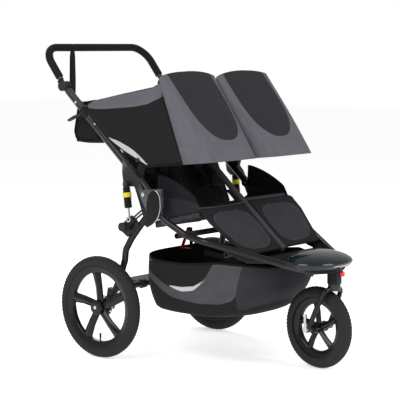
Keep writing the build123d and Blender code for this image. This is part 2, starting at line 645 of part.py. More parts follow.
# ==== front wheel and fork ====
front_centre = (swivel_x - caster_trail, 0, front_wheel_radius)
fork_half = 60.0
fork_leg_radius = 9.5
with BuildPart() as front_tyre:
    tyre(front_centre, front_wheel_radius, front_tyre_radius, 115)
with BuildPart() as front_wheel:
    wheel(front_centre, 115, 91, 20, -38, 38, 6 + running, first_spoke)
with BuildPart() as fork:
    with Locations(at(swivel_x, 0, 318)):
        Cylinder(24, 26)
    with Locations(at(swivel_x, 0, 355)):
        Cylinder(bearing_bore, 60)
    for side in (-1, 1):
        tube([(846, side * 10, 316), (842, side * 48, 304), (812, side * 58, 236),
              (front_centre[0], side * fork_half, front_wheel_radius)], (22, 60), fork_leg_radius)
        y_low, y_high = sorted((side * (fork_half - 7), side * (fork_half + 10)))
        disc(front_centre[0], front_centre[2], 13, y_low, y_high)
    disc(front_centre[0], front_centre[2], 6 + 0.05, -80, 80, mode=Mode.SUBTRACT)

# Quick release: the front wheel's skewer, with its nut on the left and its lever on the right.
with BuildPart() as quick_release:
    disc(front_centre[0], front_centre[2], 6, -fork_half - 15, fork_half + 12)
    disc(front_centre[0], front_centre[2], 10, fork_half + 10.2, fork_half + 16)
    disc(front_centre[0], front_centre[2], 11, -fork_half - 20, -fork_half - 10.2)
    plate([(front_centre[0] - 6, front_centre[2] + 4), (front_centre[0] + 6, front_centre[2] + 4),
           (front_centre[0] + 5, front_centre[2] + 58), (front_centre[0] - 5, front_centre[2] + 58)],
          -fork_half - 20, -fork_half - 14)

for piece, name in ((front_tyre.part, "front_tyre"), (front_wheel.part, "front_wheel"), (fork.part, "fork"),
                    (quick_release.part, "quick_release")):
    keep(piece.rotate(swivel_axis, caster_turn), name)
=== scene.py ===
import json
import math

import bmesh
import bpy
from mathutils import Matrix, Vector


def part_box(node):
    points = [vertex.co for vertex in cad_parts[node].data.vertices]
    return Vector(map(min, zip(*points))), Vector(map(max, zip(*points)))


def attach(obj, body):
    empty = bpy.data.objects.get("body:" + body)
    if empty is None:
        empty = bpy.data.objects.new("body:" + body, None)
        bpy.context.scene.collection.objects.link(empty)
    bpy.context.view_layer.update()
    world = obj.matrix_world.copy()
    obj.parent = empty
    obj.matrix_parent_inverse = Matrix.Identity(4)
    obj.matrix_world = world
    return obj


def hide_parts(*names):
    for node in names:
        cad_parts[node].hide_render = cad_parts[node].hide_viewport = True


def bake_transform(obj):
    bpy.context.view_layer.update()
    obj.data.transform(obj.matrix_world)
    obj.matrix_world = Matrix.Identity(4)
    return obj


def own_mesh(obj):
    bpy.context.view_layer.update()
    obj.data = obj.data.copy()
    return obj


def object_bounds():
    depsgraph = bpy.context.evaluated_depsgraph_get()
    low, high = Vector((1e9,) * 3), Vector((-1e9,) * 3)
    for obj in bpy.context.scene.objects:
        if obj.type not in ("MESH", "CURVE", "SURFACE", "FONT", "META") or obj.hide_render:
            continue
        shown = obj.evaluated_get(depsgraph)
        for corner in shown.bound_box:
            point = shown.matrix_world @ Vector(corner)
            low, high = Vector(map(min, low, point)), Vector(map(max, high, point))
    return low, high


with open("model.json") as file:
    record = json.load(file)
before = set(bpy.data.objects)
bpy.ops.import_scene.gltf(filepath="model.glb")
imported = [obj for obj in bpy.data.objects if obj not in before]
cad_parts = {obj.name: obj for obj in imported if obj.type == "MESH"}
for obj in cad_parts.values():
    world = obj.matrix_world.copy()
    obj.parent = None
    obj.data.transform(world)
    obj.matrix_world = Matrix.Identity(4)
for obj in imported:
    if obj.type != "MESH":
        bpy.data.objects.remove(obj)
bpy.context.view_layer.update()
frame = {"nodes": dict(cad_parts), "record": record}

# ---- Studio ----
# Camera on the stroller's right front quarter, a white room with three soft lamps and a plain pale floor.
axle_low, axle_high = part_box("left_rear_wheel")
axle_x = (axle_low[0] + axle_high[0]) / 2


def spot(x, y, z):
    """A point in millimetres, with x counted forward from the rear axle, as a place in metres."""
    return Vector((axle_x + x / 1000, y / 1000, z / 1000))


camera_data = bpy.data.cameras.new("camera")
camera_data.lens = 132.17
camera_data.sensor_width = 36.0
camera_data.clip_end = 60.0
camera = bpy.data.objects.new("camera", camera_data)
bpy.context.scene.collection.objects.link(camera)
camera.location = spot(3835.2, -4553.1, 1216.1)
camera.rotation_euler = (spot(208.66, 0, 602.9) - camera.location).to_track_quat("-Z", "Y").to_euler()
bpy.context.scene.camera = camera

room = bpy.data.worlds.new("room")
room.use_nodes = True
room.node_tree.nodes["Background"].inputs["Color"].default_value = (1.0, 1.0, 1.0, 1.0)
room.node_tree.nodes["Background"].inputs["Strength"].default_value = 0.5
wall = room.node_tree.nodes.new("ShaderNodeBackground")
wall.inputs["Color"].default_value = (1.0, 1.0, 1.0, 1.0)
wall_choice = room.node_tree.nodes.new("ShaderNodeMixShader")
ray_kind = room.node_tree.nodes.new("ShaderNodeLightPath")
room.node_tree.links.new(ray_kind.outputs["Is Camera Ray"], wall_choice.inputs[0])
room.node_tree.links.new(room.node_tree.nodes["Background"].outputs[0], wall_choice.inputs[1])
room.node_tree.links.new(wall.outputs[0], wall_choice.inputs[2])
room.node_tree.links.new(wall_choice.outputs[0], room.node_tree.nodes["World Output"].inputs["Surface"])
bpy.context.scene.world = room
bpy.context.scene.view_settings.view_transform = "Standard"
for lamp_name, lamp_place, lamp_size, lamp_power in (
        ("key_lamp", (600, -3200, 2900), 2.6, 85), ("front_lamp", (4200, 900, 2600), 2.4, 75),
        ("back_lamp", (-2600, 1800, 2800), 2.2, 55)):
    lamp_data = bpy.data.lights.new(lamp_name, "AREA")
    lamp_data.shape = "DISK"
    lamp_data.size = lamp_size
    lamp_data.energy = lamp_power
    lamp = bpy.data.objects.new(lamp_name, lamp_data)
    lamp.location = spot(*lamp_place)
    lamp.rotation_euler = (spot(280, 0, 550) - lamp.location).to_track_quat("-Z", "Y").to_euler()
    bpy.context.scene.collection.objects.link(lamp)

bpy.ops.object.select_all(action="DESELECT")
bpy.ops.mesh.primitive_plane_add(size=40, location=(0, 0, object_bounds()[0][2]))
floor = bpy.context.object
floor.name = "floor"
floor_paint = bpy.data.materials.new("floor_paint")
floor_paint.use_nodes = True
floor_shader = floor_paint.node_tree.nodes["Principled BSDF"]
floor_shader.inputs["Base Color"].default_value = (0.93, 0.93, 0.93, 1)
floor_shader.inputs["Roughness"].default_value = 0.9
floor_shader.inputs["Emission Color"].default_value = (1.0, 1.0, 1.0, 1)
floor_shader.inputs["Emission Strength"].default_value = 0.5
floor.data.materials.append(floor_paint)

# ---- Frame finishes ----
# Powder coat, cast metal, moulded plastic and steel for the tubes, castings, brackets and bolts.


def effect(name, inputs, outputs):
    """A shader group with named number inputs and outputs, and its two end nodes."""
    group = bpy.data.node_groups.new(name, "ShaderNodeTree")
    for label, kind, value in inputs:
        socket = group.interface.new_socket(label, in_out="INPUT", socket_type=kind)
        if value is not None:
            socket.default_value = value
    for label, kind in outputs:
        group.interface.new_socket(label, in_out="OUTPUT", socket_type=kind)
    return group, group.nodes.new("NodeGroupInput"), group.nodes.new("NodeGroupOutput")


def math_step(tree, operation, first, second=None):
    """A Math node fed by sockets or numbers."""
    step = tree.nodes.new("ShaderNodeMath")
    step.operation = operation
    for place, value in enumerate((first, second)):
        if value is None:
            continue
        if isinstance(value, (int, float)):
            step.inputs[place].default_value = value
        else:
            tree.links.new(value, step.inputs[place])
    return step.outputs[0]


grain, grain_in, grain_out = effect(
    "surface_grain",
    [("Vector", "NodeSocketVector", None), ("Scale", "NodeSocketFloat", 400.0),
     ("Patches", "NodeSocketFloat", 9.0)],
    [("Shade", "NodeSocketFloat"), ("Roughen", "NodeSocketFloat"), ("Height", "NodeSocketFloat")])
fine_noise = grain.nodes.new("ShaderNodeTexNoise")
broad_noise = grain.nodes.new("ShaderNodeTexNoise")
broad_noise.inputs["Detail"].default_value = 4.0
grain.links.new(grain_in.outputs["Vector"], fine_noise.inputs["Vector"])
grain.links.new(grain_in.outputs["Scale"], fine_noise.inputs["Scale"])
grain.links.new(grain_in.outputs["Vector"], broad_noise.inputs["Vector"])
grain.links.new(grain_in.outputs["Patches"], broad_noise.inputs["Scale"])
shade = math_step(grain, "ADD", math_step(grain, "MULTIPLY", broad_noise.outputs["Fac"], 0.5), 0.75)
shade = math_step(grain, "ADD", shade, math_step(grain, "MULTIPLY", fine_noise.outputs["Fac"], 0.12))
grain.links.new(shade, grain_out.inputs["Shade"])
roughen = math_step(grain, "ADD", math_step(grain, "MULTIPLY", broad_noise.outputs["Fac"], 0.4), 0.8)
grain.links.new(roughen, grain_out.inputs["Roughen"])
grain.links.new(fine_noise.outputs["Fac"], grain_out.inputs["Height"])


def start_finish(name, colour, roughness, metallic=0.0, coat=0.0):
    """A material with its shader's plain values set."""
    finish = bpy.data.materials.new(name)
    finish.use_nodes = True
    shader = finish.node_tree.nodes["Principled BSDF"]
    shader.inputs["Base Color"].default_value = (*colour, 1)
    shader.inputs["Roughness"].default_value = roughness
    shader.inputs["Metallic"].default_value = metallic
    shader.inputs["Coat Weight"].default_value = coat
    shader.inputs["Coat Roughness"].default_value = 0.12
    shader.inputs["Specular IOR Level"].default_value = 0.12
    return finish, finish.node_tree, shader


def shaded(tree, colour, amount):
    """A colour times a shade that varies over the surface."""
    tint = tree.nodes.new("ShaderNodeMix")
    tint.data_type = "RGBA"
    tint.blend_type = "MULTIPLY"
    tint.inputs["Factor"].default_value = 1.0
    if hasattr(colour, "links"):
        tree.links.new(colour, tint.inputs[6])
    else:
        tint.inputs[6].default_value = (*colour, 1)
    tree.links.new(amount, tint.inputs[7])
    return tint.outputs[2]


def raise_height(tree, shader, height, distance, strength):
    """Bump from a height."""
    bump = tree.nodes.new("ShaderNodeBump")
    bump.inputs["Distance"].default_value = distance
    bump.inputs["Strength"].default_value = strength
    tree.links.new(height, bump.inputs["Height"])
    tree.links.new(bump.outputs["Normal"], shader.inputs["Normal"])


def grained(name, colour, roughness, scale, patches, depth, strength=0.4, metallic=0.0, coat=0.0, wear=0.0):
    """A hard finish: grain at one scale, cloudy variation at another, and paler rubbed edges."""
    finish, tree, shader = start_finish(name, colour, roughness, metallic, coat)
    place = tree.nodes.new("ShaderNodeTexCoord")
    skin = tree.nodes.new("ShaderNodeGroup")
    skin.node_tree = grain
    skin.inputs["Scale"].default_value = scale
    skin.inputs["Patches"].default_value = patches
    tree.links.new(place.outputs["Object"], skin.inputs["Vector"])
    tone = shaded(tree, colour, skin.outputs["Shade"])
    if wear:
        edges = tree.nodes.new("ShaderNodeNewGeometry")
        rubbed = tree.nodes.new("ShaderNodeMapRange")
        rubbed.inputs["From Min"].default_value = 0.53
        rubbed.inputs["From Max"].default_value = 0.62
        rubbed.inputs["To Max"].default_value = wear
        tree.links.new(edges.outputs["Pointiness"], rubbed.inputs["Value"])
        worn = tree.nodes.new("ShaderNodeMix")
        worn.data_type = "RGBA"
        worn.inputs[7].default_value = (0.3, 0.3, 0.31, 1)
        tree.links.new(rubbed.outputs["Result"], worn.inputs[0])
        tree.links.new(tone, worn.inputs[6])
        tone = worn.outputs[2]
    tree.links.new(tone, shader.inputs["Base Color"])
    dullness = math_step(tree, "MULTIPLY", skin.outputs["Roughen"], roughness)
    tree.links.new(dullness, shader.inputs["Roughness"])
    raise_height(tree, shader, skin.outputs["Height"], depth, strength)
    return finish


powder_coat = grained("powder_coat", (0.009, 0.009, 0.010), 0.34, 900, 6, 0.0002, wear=0.12, coat=0.25)
cast_metal = grained("cast_metal", (0.026, 0.027, 0.030), 0.42, 700, 12, 0.0004, metallic=0.2, wear=0.25)
black_moulding = grained("black_moulding", (0.009, 0.009, 0.010), 0.46, 1100, 8, 0.0003, wear=0.06)
brushed_steel = grained("brushed_steel", (0.50, 0.50, 0.51), 0.28, 1500, 10, 0.0001, metallic=1.0)
wheel_gloss = grained("wheel_gloss", (0.007, 0.007, 0.008), 0.24, 500, 7, 0.0001, coat=0.25, wear=0.08)
soft_grip = grained("soft_grip", (0.010, 0.010, 0.011), 0.82, 1300, 5, 0.0006, strength=0.7)
red_gloss = grained("red_gloss", (0.62, 0.02, 0.02), 0.3, 600, 10, 0.0001, coat=0.5)
deck_rubber = grained("deck_rubber", (0.010, 0.010, 0.011), 0.6, 900, 8, 0.0005)

node_finish = {
    "frame_paint": powder_coat, "casting": cast_metal, "black_plastic": black_moulding,
    "grip_foam": soft_grip,
    "nose_gloss": black_moulding, "red_button": red_gloss, "seat_fabric": black_moulding,
    "grey_fabric": black_moulding, "red_webbing": red_gloss, "steel": brushed_steel,
    "wheel_plastic": wheel_gloss, "tyre": deck_rubber}
for entry in frame["record"]["subparts"]:
    cad_node = frame["nodes"][entry["node"]]
    cad_node.data.materials.clear()
    cad_node.data.materials.append(node_finish[entry["material_slot"]])

# ---- Rear wheels ----
# Five-spoke moulded wheels in gloss black: a deep rim, tapered blades with a ridge down the middle, a
# domed hub cap and a valve at the bottom. Spun rim and hub, blades shaped from a six-sided bar.


def spun(name, outline, centre, steps):
    """A closed (radius, y) outline in millimetres spun round the axle at centre."""
    bpy.ops.object.select_all(action="DESELECT")
    bpy.ops.mesh.primitive_circle_add(vertices=len(outline), radius=0.1, fill_type="NOTHING")
    ring = bpy.context.object
    ring.name = name
    for vertex, (radius, y) in zip(ring.data.vertices, outline):
        vertex.co = spot(centre[0], centre[1] + y, centre[2] + radius)
    bpy.ops.object.mode_set(mode="EDIT")
    bpy.ops.mesh.select_all(action="SELECT")
    bpy.ops.mesh.spin(steps=steps, angle=math.tau, center=spot(*centre), axis=(0, 1, 0))
    bpy.ops.mesh.select_all(action="SELECT")
    bpy.ops.mesh.remove_doubles(threshold=0.00002)
    bpy.ops.mesh.normals_make_consistent(inside=False)
    bpy.ops.object.mode_set(mode="OBJECT")
    return ring


def smooth(piece, degrees_sharp=35):
    """Smooth shading with sharp edges kept."""
    bpy.ops.object.select_all(action="DESELECT")
    piece.select_set(True)
    bpy.context.view_layer.objects.active = piece
    bpy.ops.object.shade_smooth_by_angle(angle=math.radians(degrees_sharp))
    return piece


def join(name, parts):
    """Several objects made one."""
    bpy.ops.object.select_all(action="DESELECT")
    for part in parts:
        part.select_set(True)
    bpy.context.view_layer.objects.active = parts[0]
    bpy.ops.object.join()
    parts[0].name = name
    return parts[0]


def lofted(name, rings):
    """A skin through rings of points in metres, capped at both ends."""
    mesh = bpy.data.meshes.new(name)
    form = bmesh.new()
    made = [[form.verts.new(point) for point in ring] for ring in rings]
    count = len(rings[0])
    for low, high in zip(made, made[1:]):
        for i in range(count):
            form.faces.new((low[i], low[(i + 1) % count], high[(i + 1) % count], high[i]))
    form.faces.new(made[0])
    form.faces.new(made[-1])
    bmesh.ops.recalc_face_normals(form, faces=form.faces)
    form.to_mesh(mesh)
    form.free()
    piece = bpy.data.objects.new(name, mesh)
    bpy.context.scene.collection.objects.link(piece)
    return piece


def beveled(piece, width, segments=2):
    """Edges rounded by an applied Bevel modifier."""
    bpy.ops.object.select_all(action="DESELECT")
    piece.select_set(True)
    bpy.context.view_layer.objects.active = piece
    rounding = piece.modifiers.new("rounding", "BEVEL")
    rounding.width = width
    rounding.segments = segments
    rounding.limit_method = "ANGLE"
    rounding.angle_limit = math.radians(28)
    bpy.ops.object.modifier_apply(modifier=rounding.name)
    return piece


def blade(name, centre, direction, near, far, near_half, far_half, near_ridge, far_ridge, lean):
    """One spoke from the hub out to the rim, ridged on both faces; lean turns its outer end along the rim."""
    rings = []
    for share in (0.0, 0.12, 0.5, 0.88, 1.0):
        radius = near + (far - near) * share
        flare = 1.0 + 0.35 * max(0.0, share - 0.8) / 0.2
        half = (near_half + (far_half - near_half) * share) * flare
        ridge = near_ridge + (far_ridge - near_ridge) * share
        angle = math.radians(direction + lean * share)
        out = Vector((math.cos(angle), 0, math.sin(angle)))
        along = Vector((-math.sin(angle), 0, math.cos(angle)))
        middle = spot(*centre) + out * radius / 1000
        rings.append([middle + along * a / 1000 + Vector((0, y / 1000, 0)) for a, y in (
            (half, 3), (half * 0.12, ridge), (-half * 0.12, ridge), (-half, 3), (-half, -3),
            (-half * 0.12, -ridge), (half * 0.12, -ridge), (half, -3))])
    return lofted(name, rings)


def moulded_wheel(name, centre, rim, window, hub, hub_low, hub_high, bore, half_width, first):
    """A whole moulded wheel."""
    lip = rim - 0.3
    parts = [spun(name, [
        (window, -half_width * 0.55), (window - 1.5, 0), (window, half_width * 0.55),
        (window + 4, half_width * 0.72), (rim - 14, half_width * 0.8), (rim - 6, half_width),
        (lip - 1, half_width * 1.04), (lip, half_width * 0.9),
        (lip, -half_width * 0.9), (lip - 1, -half_width * 1.04), (rim - 6, -half_width),
        (rim - 14, -half_width * 0.8), (window + 4, -half_width * 0.72)], centre, 120)]
    parts.append(spun(name + "_hub", [
        (bore, hub_low), (hub * 0.9, hub_low), (hub, hub_low + 2), (hub * 0.86, hub_low * 0.5),
        (hub * 0.82, 0), (hub * 0.9, hub_high * 0.6), (hub, hub_high - 5), (hub * 0.97, hub_high - 2),
        (hub * 0.8, hub_high - 0.3),
        (bore * 1.5, hub_high), (bore, hub_high - 0.5)], centre, 64))
    for turn in range(5):
        parts.append(blade(name + "_blade", centre, first + 72 * turn, hub * 0.75, window + 3, hub * 0.55,
                           window * 0.13, half_width * 0.78, half_width * 0.6, 8.0))
    return beveled(join(name, parts), 0.0009)


def mirrored(piece, name):
    """A copy on the stroller's other side, with its own mesh."""
    twin = piece.copy()
    twin.data = piece.data.copy()
    twin.name = name
    bpy.context.scene.collection.objects.link(twin)
    twin.data.transform(Matrix.Scale(-1, 4, (0, 1, 0)))
    twin.data.flip_normals()
    return twin


rear_centre = (0, 364, 200)
left_wheel = moulded_wheel("left_wheel_moulding", rear_centre, 162, 136, 29, -25.8, 27.8, 7.7, 16, 90)
left_wheel.data.materials.append(wheel_gloss)
smooth(left_wheel)
bpy.ops.object.select_all(action="DESELECT")
bpy.ops.mesh.primitive_cylinder_add(vertices=20, radius=0.003, depth=0.03, location=spot(0, 364, 200 - 120))
left_valve = bpy.context.object
bpy.ops.object.transform_apply(location=True, rotation=True, scale=True)
for vertex in left_valve.data.vertices:
    if vertex.co.z > 0.09:
        vertex.co.x = axle_x + (vertex.co.x - axle_x) * 1.5
        vertex.co.y = 0.364 + (vertex.co.y - 0.364) * 1.5
left_valve.name = "left_valve"
left_valve.data.materials.append(black_moulding)
beveled(left_valve, 0.0006)
for side_name, wheel_piece, valve_piece in (
        ("left", left_wheel, left_valve),
        ("right", mirrored(left_wheel, "right_wheel_moulding"), mirrored(left_valve, "right_valve"))):
    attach(wheel_piece, side_name + "_rear_wheel_body")
    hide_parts(side_name + "_rear_wheel")
    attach(valve_piece, side_name + "_rear_wheel_body")

# ---- Tyres ----
# Air tyres with a fine block tread on the crown and shoulders and plain side walls. Spun, with the
# grooves sunk between the blocks.
tyre_rubber = grained("tyre_rubber", (0.020, 0.021, 0.023), 0.72, 800, 5, 0.0004, strength=0.5)


def treaded_tyre(name, centre, outer, section, rim, blocks):
    """A tyre of that outer radius, section radius and seat on the rim."""
    middle = outer - section
    seat = math.degrees(math.acos((rim - middle) / section))
    outline = []
    for step in range(37):
        angle = math.radians(-seat + 2 * seat * step / 36)
        outline.append((middle + section * math.cos(angle), section * math.sin(angle)))
    tyre = spun(name, outline, centre, blocks * 4)
    axle = spot(*centre)
    for vertex in tyre.data.vertices:
        arm = vertex.co - axle
        radius = math.hypot(arm.x, arm.z) * 1000
        across = math.degrees(math.atan2(arm.y * 1000, radius - middle))
        if abs(across) < 66:
            around = math.atan2(arm.z, arm.x) / math.tau * blocks
            stagger = 0.5 if abs(across) > 22 else 0.0
            groove = (around + stagger) % 1.0 < 0.27 or 18 < abs(across) < 27 or abs(across) > 60
            if groove:
                sink = 1.5 / 1000
                flat = math.hypot(arm.x, arm.z)
                vertex.co.x -= arm.x / flat * sink * math.cos(math.radians(across))
                vertex.co.z -= arm.z / flat * sink * math.cos(math.radians(across))
                vertex.co.y -= sink * math.sin(math.radians(across))
    tyre.data.materials.append(tyre_rubber)
    return smooth(tyre, 50)


left_tyre = treaded_tyre("left_tyre", rear_centre, 200, 23, 162, 84)
for side_name, tyre_piece in (("left", left_tyre), ("right", mirrored(left_tyre, "right_tyre"))):
    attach(tyre_piece, side_name + "_rear_wheel_body")
    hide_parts(side_name + "_rear_tyre")

# ---- Front wheel ----
# The same wheel and tyre, smaller, standing in the fork and turned with it about the swivel axis.
swivel = Matrix.Translation(spot(850, 0, 0)) @ Matrix.Rotation(math.radians(-7.2), 4, "Z") @ \
    Matrix.Translation(-spot(850, 0, 0))
front_centre = (775, 0, 156)
front_moulding = moulded_wheel("front_wheel_moulding", front_centre, 115, 91, 21, -37.8, 37.8, 6.3, 16, 90)
front_moulding.data.materials.append(wheel_gloss)
smooth(front_moulding)
front_rubber = treaded_tyre("front_wheel_tyre", front_centre, 156, 27, 115, 68)
for wheel_piece, cad_name, slot_name in ((front_moulding, "front_wheel", "wheel_plastic"),
                                         (front_rubber, "front_tyre", "tyre")):
    wheel_piece.data.transform(swivel)
    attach(wheel_piece, "front_wheel_body")
    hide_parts(cad_name)

# ---- Nose ----
# The moulded cover over the head bracket: a low oval dome in dark slate gloss with a bright lower band.
nose_gloss = grained("nose_gloss", (0.007, 0.012, 0.014), 0.16, 300, 4, 0.0001, coat=0.6)


def squared(value, power):
    """A sine or cosine bent toward a squarer outline, with its sign kept."""
    return math.copysign(abs(value) ** power, value)


nose_x = 770
nose_rings = []
for height, half_length, half_width, shift in (
        (394, 113, 145, 0), (400, 118, 150, 0), (409, 121, 153.5, 0), (413, 120.5, 153.5, 0),
        (421, 115, 147, -1), (431, 101, 132, -3), (440, 80, 108, -5), (447, 52, 74, -7), (451, 24, 36, -8)):
    ring = []
    for turn in range(64):
        angle = math.tau * turn / 64
        x = nose_x + shift + half_length * squared(math.cos(angle), 0.9)
        y = half_width * squared(math.sin(angle), 0.9)
        if x < 728:
            x = 728 + (x - 728) * 0.35
        ring.append(spot(x, y, height))
    nose_rings.append(ring)
nose_dome = lofted("nose_dome", nose_rings)
nose_dome.data.materials.append(nose_gloss)
smooth(nose_dome, 40)
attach(nose_dome, "chassis")
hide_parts("nose_cover")


def rod(name, points, radius, finish, sides=8):
    """A round bar through points in millimetres."""
    line = bpy.data.curves.new(name, "CURVE")
    line.dimensions = "3D"
    line.bevel_depth = radius / 1000
    line.bevel_resolution = sides // 2
    line.resolution_u = 8
    line.use_fill_caps = True
    path = line.splines.new("NURBS")
    path.points.add(len(points) - 1)
    for control, point in zip(path.points, points):
        control.co = (*spot(*point), 1)
    path.order_u = 3
    path.use_endpoint_u = True
    bar = bpy.data.objects.new(name, line)
    bpy.context.scene.collection.objects.link(bar)
    bpy.ops.object.select_all(action="DESELECT")
    bar.select_set(True)
    bpy.context.view_layer.objects.active = bar
    bpy.ops.object.convert(target="MESH")
    bar = bpy.context.object
    bar.data.materials.clear()
    bar.data.materials.append(finish)
    for face in bar.data.polygons:
        face.use_smooth = True
    return bar


nose_band_points = []
for turn in range(-60, 61, 6):
    angle = math.radians(turn)
    nose_band_points.append((nose_x + 118.5 * math.cos(angle), 151.5 * math.sin(angle), 403))
nose_band = rod("nose_band", nose_band_points, 2.6, brushed_steel)
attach(nose_band, "chassis")

# ---- Canopies ----
# Each is one sewn shell: black sides, a grey strip along the outer top edge and a silver reflective
# crescent low on the side. The rear half is stitched to the tubes; the visor swings on its bow and has a
# black tongue on grey cloth.
weave, weave_in, weave_out = effect(
    "plain_weave", [("Vector", "NodeSocketVector", None), ("Threads", "NodeSocketFloat", 3000.0)],
    [("Shade", "NodeSocketFloat"), ("Height", "NodeSocketFloat")])
weave_split = weave.nodes.new("ShaderNodeSeparateXYZ")
weave.links.new(weave_in.outputs["Vector"], weave_split.inputs[0])
thread_scale = weave_in.outputs["Threads"]
warp = math_step(weave, "SINE", math_step(weave, "MULTIPLY", weave_split.outputs[0], thread_scale))
weft = math_step(weave, "SINE", math_step(weave, "MULTIPLY", weave_split.outputs[1], thread_scale))
both = math_step(weave, "MULTIPLY", warp, weft)
crossing = math_step(weave, "ADD", math_step(weave, "MULTIPLY", both, 0.5), 0.5)
weave.links.new(crossing, weave_out.inputs["Height"])
slub = weave.nodes.new("ShaderNodeTexNoise")
slub.inputs["Scale"].default_value = 14.0
slub.inputs["Detail"].default_value = 5.0
weave.links.new(weave_in.outputs["Vector"], slub.inputs["Vector"])
broad_shade = math_step(weave, "ADD", math_step(weave, "MULTIPLY", slub.outputs["Fac"], 0.42), 0.70)
cloth_shade = math_step(weave, "ADD", math_step(weave, "MULTIPLY", crossing, 0.18), broad_shade)
weave.links.new(cloth_shade, weave_out.inputs["Shade"])


def cloth(name, colour, roughness=0.85, zones=(), threads=3000.0):
    """Woven cloth on the piece's own UV map. zones paints colours where an attribute is above nought."""
    finish, tree, shader = start_finish(name, colour, roughness)
    shader.inputs["Specular IOR Level"].default_value = 0.08
    shader.inputs["Sheen Weight"].default_value = 0.015
    shader.inputs["Sheen Roughness"].default_value = 0.5
    place = tree.nodes.new("ShaderNodeTexCoord")
    threads_group = tree.nodes.new("ShaderNodeGroup")
    threads_group.node_tree = weave
    threads_group.inputs["Threads"].default_value = threads
    tree.links.new(place.outputs["UV"], threads_group.inputs["Vector"])
    tone = None
    for attribute, zone_colour in zones:
        mark = tree.nodes.new("ShaderNodeAttribute")
        mark.attribute_name = attribute
        edge = tree.nodes.new("ShaderNodeMapRange")
        edge.inputs["From Min"].default_value = -0.6
        edge.inputs["From Max"].default_value = 0.6
        tree.links.new(mark.outputs["Fac"], edge.inputs["Value"])
        laid = tree.nodes.new("ShaderNodeMix")
        laid.data_type = "RGBA"
        if tone is None:
            laid.inputs[6].default_value = (*colour, 1)
        else:
            tree.links.new(tone, laid.inputs[6])
        laid.inputs[7].default_value = (*zone_colour, 1)
        tree.links.new(edge.outputs["Result"], laid.inputs[0])
        tone = laid.outputs[2]
    tree.links.new(shaded(tree, tone if tone is not None else colour, threads_group.outputs["Shade"]),
                   shader.inputs["Base Color"])
    raise_height(tree, shader, threads_group.outputs["Height"], 0.0004, 0.5)
    return finish


def panel(name, across, along, place, size, finish, marks=(), thick=1.6):
    """A sewn panel: a grid laid by place(u, v) in millimetres, with a UV map in metres and marked zones."""
    bpy.ops.object.select_all(action="DESELECT")
    bpy.ops.mesh.primitive_grid_add(x_subdivisions=across, y_subdivisions=along, size=2, calc_uvs=True)
    piece = bpy.context.object
    piece.name = name
    mesh = piece.data
    for loop_uv in mesh.uv_layers[0].data:
        loop_uv.uv = (loop_uv.uv[0] * size[0] / 1000, loop_uv.uv[1] * size[1] / 1000)
    values = [[] for _ in marks]
    for vertex in mesh.vertices:
        u, v = (vertex.co.x + 1) / 2, (vertex.co.y + 1) / 2
        point = place(u, v)
        for store, (_, mark) in zip(values, marks):
            store.append(mark(u, v, point))
        vertex.co = spot(*point)
    for store, (label, _) in zip(values, marks):
        mesh.attributes.new(label, "FLOAT", "POINT").data.foreach_set("value", store)
    mesh.materials.append(finish)
    for face in mesh.polygons:
        face.use_smooth = True
    if thick:
        bpy.context.view_layer.objects.active = piece
        layer = piece.modifiers.new("thickness", "SOLIDIFY")
        layer.thickness = thick / 1000
        layer.offset = -1
        bpy.ops.object.modifier_apply(modifier=layer.name)
    return piece


unmarked = -20.0


black_cloth = (0.012, 0.012, 0.013)
grey_cloth = (0.105, 0.105, 0.120)
tongue_cloth = (0.026, 0.026, 0.030)
silver_cloth = (0.42, 0.43, 0.45)
hood_cloth = cloth("hood_cloth", black_cloth, zones=(("strip", grey_cloth), ("crescent", silver_cloth),
                                                     ("binding", (0.006, 0.006, 0.006))))
visor_cloth = cloth("visor_cloth", grey_cloth, 0.7, zones=(("tongue", tongue_cloth),
                                                           ("hem", (0.05, 0.05, 0.056))))


def mix(a, b, share):
    """Between two numbers or two points."""
    if isinstance(a, tuple):
        return tuple(p + (q - p) * share for p, q in zip(a, b))
    return a + (b - a) * share


def along_points(points, x):
    """The height at x on a run of (x, z) points."""
    for (x0, z0), (x1, z1) in zip(points, points[1:]):
        if x <= x1:
            return mix(z0, z1, max(0.0, (x - x0) / (x1 - x0)))
    return points[-1][1]


hood_roof = [(-92, 1002), (60, 1034), (209, 1063), (290, 1100)]
hood_foot = [(-92, 961), (-60, 925), (-25, 893), (45, 841), (107, 805), (193, 766), (218, 754), (404, 772)]


side_share = 0.34
corner_share = 0.12
corner_cut = 0.10


def canopy_section(u):
    """Round a canopy's section, from the outer foot at 0 over the top to the inner foot at 1: how far across
    it is and how far down its side, both 0 to 1."""
    if u < side_share:
        down = 1 - u / side_share
        bow = 0.012 * math.sin(math.pi * down)
        return -bow + max(0.0, corner_share - down) / corner_share * corner_cut, down
    if u > 1 - side_share:
        down = (u - 1 + side_share) / side_share
        bow = 0.012 * math.sin(math.pi * down)
        return 1 + bow - max(0.0, corner_share - down) / corner_share * corner_cut, down
    return mix(corner_cut, 1 - corner_cut, (u - side_share) / (1 - 2 * side_share)), 0.0


